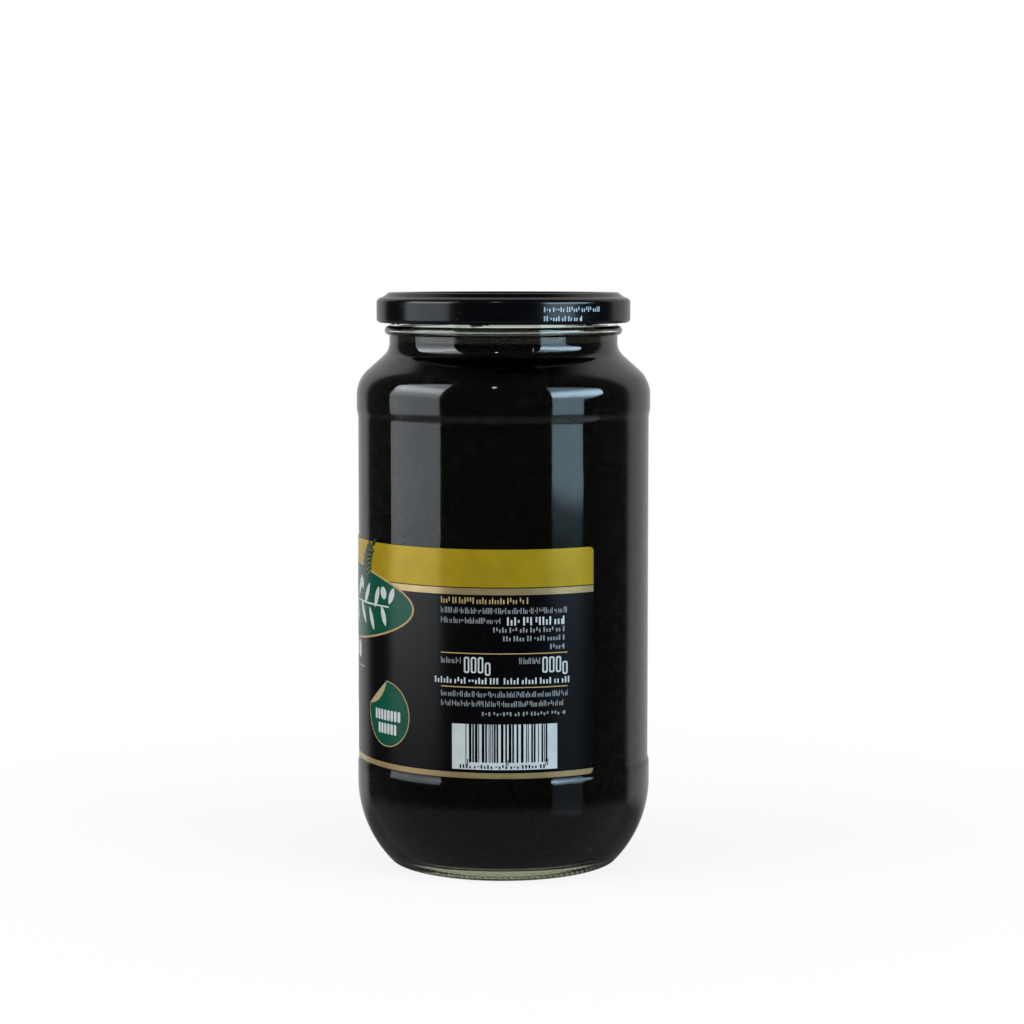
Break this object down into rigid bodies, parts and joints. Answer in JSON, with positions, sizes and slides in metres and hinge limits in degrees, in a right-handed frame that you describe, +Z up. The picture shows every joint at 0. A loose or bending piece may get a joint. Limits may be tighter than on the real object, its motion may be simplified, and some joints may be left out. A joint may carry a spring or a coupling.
{
  "type": "jar of olives",
  "caption": "Tall round glass jar of pitted black olives in dark brine, with a black twist-off lid and a black and gold wrap label.",
  "frame": {"origin": "bottom centre of the jar, on the plane that it stands on", "axes": "+Z up along the jar's axis; -Y is the front, where the label's small print is; +X is on the front's right"},
  "size_m": [0.093, 0.093, 0.1806],
  "materials": {
    "glass": "clear flint glass with a faint green cast, glossy",
    "olives_in_brine": "black olives in nearly black brine",
    "lid": "gloss black lacquer",
    "label": "satin coated paper, black with gold bands"
  },
  "bodies": {
    "root": {"glass_jar": "glass", "contents": "olives_in_brine", "lid": "lid", "label": "label"}
  },
  "joints": []
}
